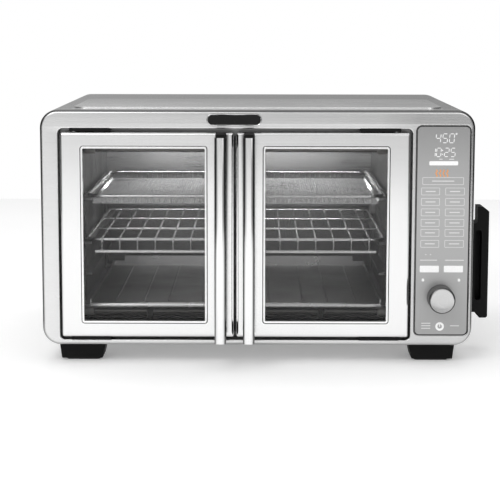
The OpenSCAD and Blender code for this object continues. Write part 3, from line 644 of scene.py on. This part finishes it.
def fry_basket():
    lo, hi = local_box("fry_basket")
    rim_r = 2.2
    x0, x1, y0, y1 = lo.x + rim_r, hi.x - rim_r, lo.y + rim_r, hi.y - rim_r
    rim_z = hi.z - rim_r
    floor_z = lo.z + 1.2
    rim = Shape()
    rim.tube(loop_points(x0, x1, y0, y1, rim_z, 20, 8), rim_r, 12, closed=True)
    rim.build("basket_rim", "basket", "wire_chrome", "basket_wire", replaces=["fry_basket"], smooth=True)

    inset = 5.5
    pitch = 5.6
    fx0, fx1, fy0, fy1 = x0 + inset, x1 - inset, y0 + inset, y1 - inset
    xs = evenly(fx0, fx1, int((fx1 - fx0) / pitch))
    ys = evenly(fy0, fy1, int((fy1 - fy0) / pitch))
    woven_floor(xs, ys, floor_z, 0.36).build("basket_mesh", "basket", "basket_wire", "basket_wire")

    # Upright wires lean out from the floor to the rim, and stop short of the round corners
    step = 6.9
    corner = 22
    end_wire_r = 0.95
    side_wire_r = 0.6
    foot_z = floor_z - 0.4
    mid_z = (floor_z + rim_z) / 2
    lean = ((inset, foot_z), (inset * 0.35, mid_z), (0, rim_z))
    walls = Shape()
    walls.tube(loop_points(fx0, fx1, fy0, fy1, floor_z - 0.2, 16, 5), side_wire_r, 6, closed=True)
    for x in evenly(x0 + corner, x1 - corner, int((x1 - x0 - 2 * corner) / step)):
        for edge, sign in ((y0, 1), (y1, -1)):
            walls.tube([(x, edge + sign * d, z) for d, z in lean], end_wire_r, 6, up=(1, 0, 0))
    for y in evenly(y0 + corner, y1 - corner, int((y1 - y0 - 2 * corner) / step)):
        for edge, sign in ((x0, 1), (x1, -1)):
            walls.tube([(edge + sign * d, y, z) for d, z in lean], side_wire_r, 6, up=(0, 1, 0))
    walls.build("basket_walls", "basket", "wire_chrome", "basket_wire", smooth=True)


# ---------- knob ----------

def knob():
    lo, hi = local_box("knob")
    cap_lo, cap_hi = local_box("knob_cap")
    centre = ((cap_lo.x + cap_hi.x) / 2, (cap_lo.z + cap_hi.z) / 2)
    face_r = (cap_hi.x - cap_lo.x) / 2
    knob_r = (hi.x - lo.x) / 2
    front = cap_lo.y
    back = -1.6
    flute_count = 60
    flute_depth = 0.35
    flute_y0, flute_y1 = front + 3.2, back - 2.0
    steps = 8
    profile = [(0.8, hi.y), (1.5, hi.y), (1.5, back), (knob_r - 1.4, back), (knob_r - 0.4, back - 0.5),
               (knob_r, back - 1.6)]
    profile += [(knob_r, y) for y in evenly(flute_y1, flute_y0, steps)]
    profile += [(knob_r - 0.1, front + 2.2), (knob_r - 0.7, front + 1.4), (face_r + 0.15, front + 1.1),
                (face_r + 0.1, front + 2.4), (1.0, front + 2.4)]
    grip = Shape()
    grip.lathe(profile, centre, 240, flutes=(flute_count, flute_depth, flute_y0 - 0.2, flute_y1 + 0.1))
    grip.build("knob_grip", "dial", "knob_steel", "knob_steel", replaces=["knob"], smooth=True)
    face = Shape()
    rim = face_r - 0.1
    face.lathe([(1.0, front + 2.2), (rim, front + 2.2), (rim, front + 0.5), (rim - 0.5, front),
                (rim - 1.0, front + 0.15), (rim * 0.5, front + 0.55), (0.5, front + 0.6)], centre, 96)
    face.build("knob_front", "dial", "knob_face", "knob_face", replaces=["knob_cap"], smooth=True)


# ---------- control panel marks ----------

# The panel's lower left corner, and the front and back of the ink on it
panel_lo, panel_hi = local_box("control_panel")
INK = (panel_lo.y - 0.12, panel_lo.y + 0.02)

SEGMENTS = {"0": "abcdef", "1": "bc", "2": "abged", "4": "fgbc", "5": "afgcd"}


def bar(p, q, t):
    """A pointed stroke from p to q, t thick."""
    dx, dz = q[0] - p[0], q[1] - p[1]
    length = math.hypot(dx, dz)
    ux, uz = dx / length, dz / length
    h = t / 2
    a, b = (p[0] + ux * h, p[1] + uz * h), (q[0] - ux * h, q[1] - uz * h)
    return [p, (a[0] + uz * h, a[1] - ux * h), (b[0] + uz * h, b[1] - ux * h), q,
            (b[0] - uz * h, b[1] + ux * h), (a[0] - uz * h, a[1] + ux * h)]


def digit(shape, char, x, z, w, h):
    """One seven-segment digit, leaning a little to the right."""
    t = 0.85
    lean = 0.08
    gap = t * 0.62
    half = z + h / 2
    ends = {
        "a": ((x + gap, z + h), (x + w - gap, z + h)),
        "b": ((x + w, half + gap), (x + w, z + h - gap)),
        "c": ((x + w, z + gap), (x + w, half - gap)),
        "d": ((x + gap, z), (x + w - gap, z)),
        "e": ((x, z + gap), (x, half - gap)),
        "f": ((x, half + gap), (x, z + h - gap)),
        "g": ((x + gap, half), (x + w - gap, half)),
    }
    for key in SEGMENTS[char]:
        outline = bar(*ends[key], t)
        shape.prism([(px + lean * (pz - z), pz) for px, pz in outline], *INK)


def on_panel(x0, x1, z0, z1, r, steps=5):
    """A rounded outline, measured from the panel's lower left corner."""
    return rounded(panel_lo.x + x0, panel_lo.x + x1, panel_lo.z + z0, panel_lo.z + z1, r, steps)


def about(x, z, half, r, steps=5):
    """A rounded square outline about a middle, measured as in on_panel."""
    return on_panel(x - half, x + half, z - half, z + half, r, steps)


def display_digits():
    """The set temperature over the time, in millimetres from the display's lower left corner."""
    corner, _ = local_box("display")
    digits = Shape()
    for i, char in enumerate("450"):
        digit(digits, char, corner.x + 9.6 + i * 7.9, corner.z + 20.6, 5.4, 10.4)
    degree = (corner.x - panel_lo.x + 33.7, corner.z - panel_lo.z + 30.9)
    digits.ring(about(*degree, 1.1, 1.0), about(*degree, 0.5, 0.45), *INK)
    for x, char in ((4.0, "1"), (10.6, "0"), (19.8, "2"), (27.2, "5")):
        digit(digits, char, corner.x + x, corner.z + 4.4, 5.0, 10.0)
    for z in (7.1, 11.7):
        colon = (corner.x - panel_lo.x + 17.8, corner.z - panel_lo.z + z)
        digits.prism(about(*colon, 0.6, 0.3, 2), *INK)
    digits.build("display_digits", "cabinet", "digit_glow", "display_dark")


def panel_prints():
    """The lit bar, the two wide keys, the power key and the two dots above the knob."""
    white = Shape()
    white.prism(on_panel(17.6, 51.3, 205.4, 210.3, 1.2), *INK)
    for x0, x1 in ((8.4, 30.9), (36.7, 59.3)):
        white.prism(on_panel(x0, x1, 79.1, 87.0, 1.0), *INK)
    power = (33.0, 14.4)
    white.ring(about(*power, 5.1, 5.0, 8), about(*power, 2.6, 2.5, 8), *INK)
    proud = 0.05
    white.prism(on_panel(32.5, 33.5, 13.8, 17.8, 0.4, 2), INK[0] - proud, INK[1])
    for x in (12.3, 54.8):
        white.prism(on_panel(x - 1.5, x + 1.5, 68.2, 71.6, 0.9), *INK)
    white.build("panel_prints", "cabinet", "ink_white", "panel_grey", bevel=0.04)


def panel_lines():
    """Outlines of the touch keys with a stroke for each word, and the loose strokes."""
    line_w = 0.55
    half_key = 4.4
    boxes = [(10.0, 58.3, 182.6, 191.4)]
    for z in (174.8, 162.5, 150.2, 137.8, 126.0, 113.0):
        for x0, x1 in ((8.8, 30.6), (37.0, 59.5)):
            boxes.append((x0, x1, z - half_key, z + half_key))
    faint = Shape()
    for x0, x1, z0, z1 in boxes:
        faint.ring(on_panel(x0, x1, z0, z1, 0.9, 3),
                   on_panel(x0 + line_w, x1 - line_w, z0 + line_w, z1 - line_w, 0.45, 3), *INK)
        mid, half_word, z = (x0 + x1) / 2, (x1 - x0) * 0.27, (z0 + z1) / 2
        faint.prism(on_panel(mid - half_word, mid + half_word, z - line_w, z + line_w, 0.3, 2), *INK)
    under_display = [(29.0, 33.0, 212.6), (40.5, 46.5, 212.6)]
    over_wide_keys = [(14.5, 16.0, 100.2), (20.0, 21.5, 100.2), (8.5, 28.5, 93.6), (38.0, 60.0, 93.6)]
    at_bottom = [(11.2, 22.0, z) for z in (18.2, 15.2, 12.2)] + [(45.2, 55.8, 15.2)]
    for x0, x1, z in under_display + over_wide_keys + at_bottom:
        faint.prism(on_panel(x0, x1, z - 0.5, z + 0.5, 0.3, 2), *INK)
    faint.build("panel_lines", "cabinet", "ink_faint", "panel_grey")


def heat_waves():
    """Four small waves over the first outlined key."""
    x, z = panel_lo.x + 26.2, panel_lo.z + 192.0
    spacing = 4.2
    rise = 1.05
    sway = 0.8
    waves = Shape()
    for k in range(4):
        line = [(x + k * spacing + sway * math.sin(i * 1.2), sum(INK) / 2, z + i * rise) for i in range(9)]
        waves.tube(line, 0.75, 6, up=(0, 1, 0))
    waves.build("heat_waves", "cabinet", "ink_orange", "panel_grey", smooth=True)


def panel_border():
    """The fine pressed line round the panel."""
    x0, x1 = 3.0, panel_hi.x - panel_lo.x - 2.0
    z0, z1 = 4.0, panel_hi.z - panel_lo.z - 4.0
    width = 0.8
    groove = Shape()
    groove.ring(on_panel(x0, x1, z0, z1, 5.7, 8),
                on_panel(x0 + width, x1 - width, z0 + width, z1 - width, 4.9, 8), INK[0] + 0.02, INK[1])
    groove.build("panel_border", "cabinet", "post_black", "post_black")


# ---------- badge, screws and rims ----------

def badge_rim():
    lo, hi = local_box("badge")
    inset = 0.9
    outline = rounded(lo.x + inset, hi.x - inset, lo.z + inset, hi.z - inset, 5.5, 10)
    shape = Shape()
    shape.tube([(x, lo.y + 0.15, z) for x, z in outline], 0.42, 6, closed=True, up=(0, 1, 0))
    shape.build("badge_rim", "cabinet", "trim_chrome", "trim_chrome", smooth=True)


def bezel_shell():
    """The front frame with a rolled outer edge and softly turned edges round its two openings."""
    lo, hi = local_box("front_bezel")
    left_lo, left_hi = local_box("left_door_frame")
    _, right_hi = local_box("right_door_frame")
    side_gap, bottom_gap, top_gap = 2.5, 3.4, 4.1
    doors = (left_lo.x - side_gap, right_hi.x + side_gap, left_lo.z - bottom_gap, left_hi.z + top_gap)
    panel = (panel_lo.x + 2.7, panel_hi.x - 1.7, panel_lo.z + 3.7, panel_hi.z - 3.7)
    outer = (lo.x, hi.x, lo.z, hi.z)
    depth = hi.y
    panel_depth = 1.5
    corner, hole_corner = 21.0, 6.0
    roll, turned = 4.2, 1.4
    steps = 7
    quarter = [math.radians(90 * i / steps) for i in range(steps + 1)]
    shape = Shape()

    def row(corners, grow, r, y, count):
        x0, x1, z0, z1 = corners
        return [(x, y, z) for x, z in rounded(x0 - grow, x1 + grow, z0 - grow, z1 + grow, r + grow, count)]

    def turned_edge(corners, grow, r, back, count):
        """A quarter round from the face to the edge's wall, and the wall itself. Gives the first row."""
        rows = [row(corners, grow * (1 - math.sin(a)), r, abs(grow) * (1 - math.cos(a)), count)
                for a in quarter]
        rows.append(row(corners, 0.0, r, back, count))
        n = len(rows[0])
        faces = [(i * n + k, i * n + (k + 1) % n, (i + 1) * n + (k + 1) % n, (i + 1) * n + k)
                 for i in range(len(rows) - 1) for k in range(n)]
        shape.add([v for line in rows for v in line], faces)
        return [Vector(v) for v in rows[0]]

    face = [turned_edge(outer, -roll, corner, depth, 14),
            turned_edge(doors, turned, hole_corner, depth, 6),
            turned_edge(panel, turned, hole_corner, panel_depth, 6)]
    shape.add([v for loop in face for v in loop], tessellate_polygon(face))
    piece = shape.build("bezel_shell", "cabinet", "front_steel", "front_steel", replaces=["front_bezel"],
                        smooth=True, join=True)
    thick = piece.modifiers.new("sheet", "SOLIDIFY")
    thick.thickness = 1.0 * MM
    thick.offset = -1.0


def handle_posts():
    """Black blocks that carry each bar: the upper one reaches the door's top edge."""
    height = 15
    flange, flange_end = 1.1, 0.6
    for side in ("left", "right"):
        lo, hi = local_box(side + "_door_posts")
        _, door_hi = local_box(side + "_door_frame")
        _, bar_hi = local_box(side + "_door_handle")
        shape = Shape()
        for z0, z1 in ((lo.z, lo.z + height), (hi.z - height, door_hi.z)):
            shape.prism(rounded(lo.x, hi.x, z0, z1, 2.2, 4), bar_hi.y - 0.3, hi.y)
            foot_top = min(z1 + flange_end, door_hi.z)
            foot = rounded(lo.x - flange, hi.x + flange, z0 - flange_end, foot_top, 2.6, 4)
            shape.prism(foot, hi.y - 1.6, hi.y - 0.05)
        shape.build(side + "_posts", "door_" + side, "post_black", "post_black",
                    replaces=[side + "_door_posts"], bevel=0.5)


def middle_seal():
    """Rubber lip on the left door's inner edge that closes the gap between the doors."""
    lo, hi = local_box("left_door_frame")
    other, _ = local_box("right_door_frame")
    lap, gap = 1.2, 0.35
    x0, x1 = hi.x - lap, other.x - gap
    z0, z1 = lo.z + 5, hi.z - 5
    shape = Shape()
    shape.prism(rounded(x0, x1, z0, z1, 0.6, 3), hi.y - 3.0, hi.y - 1.4)
    shape.prism(rounded(x1 - 0.9, x1, z0, z1, 0.4, 3), hi.y - 4.4, hi.y - 2.6)
    shape.build("middle_seal", "door_left", "pad_rubber", "pad_rubber", bevel=0.2)


def window_shadow_rings():
    """A thin black ring on the door's skin just outside each window's rim: a painted shadow beside the rim.
    """
    for side in ("left", "right"):
        lo, hi = local_box(side + "_door_trim")
        skin, _ = local_box(side + "_door_frame")
        out, lap = 0.8, 0.1
        shape = Shape()
        shape.ring(rounded(lo.x - out, hi.x + out, lo.z - out, hi.z + out, 3.8, 8),
                   rounded(lo.x + lap, hi.x - lap, lo.z + lap, hi.z - lap, 2.9, 8),
                   skin.y - 0.06, skin.y + 0.3)
        shape.build(side + "_window_shadow", "door_" + side, "post_black", "post_black")


def screw_heads():
    """Domed heads with a recess, two down each side of the back and three along its top."""
    back, _ = local_box("case_screws")
    lo, hi = local_box("rear_panel")
    side = hi.x - 14
    places = [(x, z) for x in (-side, side) for z in (lo.z + 60, hi.z - 63)]
    places += [(x, hi.z - 12) for x in (-side / 2, 0, side / 2)]
    r = 3.6
    profile = [(0.9, -0.4), (r - 0.3, -0.4), (r, 0.3), (r - 0.4, 0.9), (r - 1.2, 1.35), (1.7, 1.6),
               (1.5, 0.7), (0.6, 0.6)]
    shape = Shape()
    for centre in places:
        shape.lathe([(radius, back.y + y) for radius, y in profile], centre, 30)
    shape.build("screw_heads", "cabinet", "screw_steel", "screw_steel", replaces=["case_screws"], smooth=True)


fry_basket()
knob()
display_digits()
panel_prints()
panel_lines()
heat_waves()
panel_border()
badge_rim()
screw_heads()
bezel_shell()
window_shadow_rings()
middle_seal()
handle_posts()

# ---------- floor, light and camera ----------

scene = bpy.context.scene


def pale_floor():
    half_width, front, back = 1.6, -2.6, 1.6
    corners = [(-half_width, front, 0), (half_width, front, 0), (half_width, back, 0), (-half_width, back, 0)]
    mesh = bpy.data.meshes.new("floor")
    mesh.from_pydata(corners, [], [(0, 1, 2, 3)])
    floor = bpy.data.objects.new("floor", mesh)
    scene.collection.objects.link(floor)
    paint = Nodes("floor_paint", Roughness=0.75, Emission_Color=grey(1.0), Emission_Strength=0.22)
    clouds = paint.spread(paint.noise(paint.place(), 3.0), 0.0, 1.0)
    paint.set(Base_Color=paint.mix(clouds, grey(0.90), grey(0.93)))
    mesh.materials.append(paint.material)


pale_floor()


def area_light(name, location, target, size, power):
    data = bpy.data.lights.new(name, "AREA")
    data.shape = "RECTANGLE"
    data.size, data.size_y = size
    data.energy = power
    obj = bpy.data.objects.new(name, data)
    scene.collection.objects.link(obj)
    obj.location = location
    obj.rotation_euler = (Vector(target) - Vector(location)).to_track_quat("-Z", "Y").to_euler()


# Sizes and places in metres, power in watts
area_light("key", (-1.0, -1.9, 1.7), (0.0, -0.5, 0.1), (1.6, 1.2), 16)
area_light("fill", (0.9, -2.2, 1.3), (0.0, -0.5, 0.1), (1.0, 1.0), 4)
area_light("top", (0.0, 0.3, 1.9), (0.0, 0.0, 0.2), (1.6, 1.2), 9)


def oven_lights():
    """Lights in the cooking space: its ceiling, the upper back wall and the tray's back wall."""
    lo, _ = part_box("cavity_floor")
    _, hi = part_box("cavity_ceiling")
    _, tray_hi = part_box("bake_tray")
    middle = (lo + hi) / 2
    wide = 0.30
    thin = 0.010
    area_light("oven_light", (middle.x, middle.y - 0.02, hi.z - 0.004), (middle.x, middle.y, 0),
               (wide, 0.22), 0.125)
    area_light("back_light", (middle.x, lo.y + 0.10, hi.z - 0.012), (middle.x, hi.y, hi.z - 0.020),
               (wide, thin), 0.40)
    area_light("low_light", (middle.x, lo.y + 0.02, tray_hi.z + 0.033), (middle.x, hi.y, tray_hi.z - 0.005),
               (wide, thin), 0.04)


oven_lights()


def studio_world():
    """Soft surroundings for reflections, and plain white behind the object for the camera."""
    world = bpy.data.worlds.new("studio")
    scene.world = world
    world.use_nodes = True
    tree = world.node_tree
    tree.nodes.clear()

    def made(kind):
        return tree.nodes.new("ShaderNode" + kind)

    def ramp(source, *stops):
        """Greys along a direction's X, Y or Z, where 0 and 1 stand for -1 and 1."""
        node = made("ValToRGB")
        set_stops(node, stops)
        half = made("MapRange")
        half.inputs["From Min"].default_value = -1.0
        tree.links.new(source, half.inputs[0])
        tree.links.new(half.outputs[0], node.inputs[0])
        return node.outputs[0]

    def blend(kind, first, second):
        node = made("Mix")
        node.data_type, node.blend_type = "RGBA", kind
        node.inputs[0].default_value = 1.0
        tree.links.new(first, node.inputs[6])
        tree.links.new(second, node.inputs[7])
        return node.outputs[2]

    direction = made("SeparateXYZ")
    tree.links.new(made("TexCoord").outputs["Generated"], direction.inputs[0])
    x, y, z = direction.outputs
    # Bright in front of the object, darker to its sides and behind it, bright above
    around = ramp(y, (0.0, 1.0), (0.10, 0.85), (0.28, 0.16), (0.6, 0.12), (0.85, 0.45), (1.0, 0.62))
    # A little darker to the right and above the horizon
    around = blend("MULTIPLY", around, ramp(x, (0.38, 1.0), (0.62, 0.60)))
    around = blend("MULTIPLY", around, ramp(z, (0.42, 1.0), (0.52, 0.78)))
    above = ramp(z, (0.0, 0.0), (0.62, 0.0), (0.85, 0.5), (1.0, 0.75))
    studio = made("Background")
    tree.links.new(blend("ADD", around, above), studio.inputs[0])
    backdrop = made("Background")
    backdrop.inputs[0].default_value = grey(1.0)
    pick = made("MixShader")
    tree.links.new(made("LightPath").outputs["Is Camera Ray"], pick.inputs[0])
    tree.links.new(studio.outputs[0], pick.inputs[1])
    tree.links.new(backdrop.outputs[0], pick.inputs[2])
    tree.links.new(pick.outputs[0], made("OutputWorld").inputs[0])


studio_world()


def photo_camera():
    """The photo's angle, fitted to the cabinet's corners. Angles in degrees, the lens in millimetres."""
    pitch, yaw, roll = 8.042, 0.300, 0.088
    lens = bpy.data.cameras.new("camera")
    lens.lens = 119.07
    lens.sensor_width = 36.0
    camera = bpy.data.objects.new("camera", lens)
    scene.collection.objects.link(camera)
    turn = (Matrix.Rotation(math.radians(yaw), 4, "Z") @ Matrix.Rotation(math.radians(90 - pitch), 4, "X")
            @ Matrix.Rotation(math.radians(roll), 4, "Z"))
    camera.matrix_world = Matrix.Translation(at(1.66, -1926.0, 408.02)) @ turn
    scene.camera = camera


photo_camera()
scene.view_settings.view_transform = "Standard"
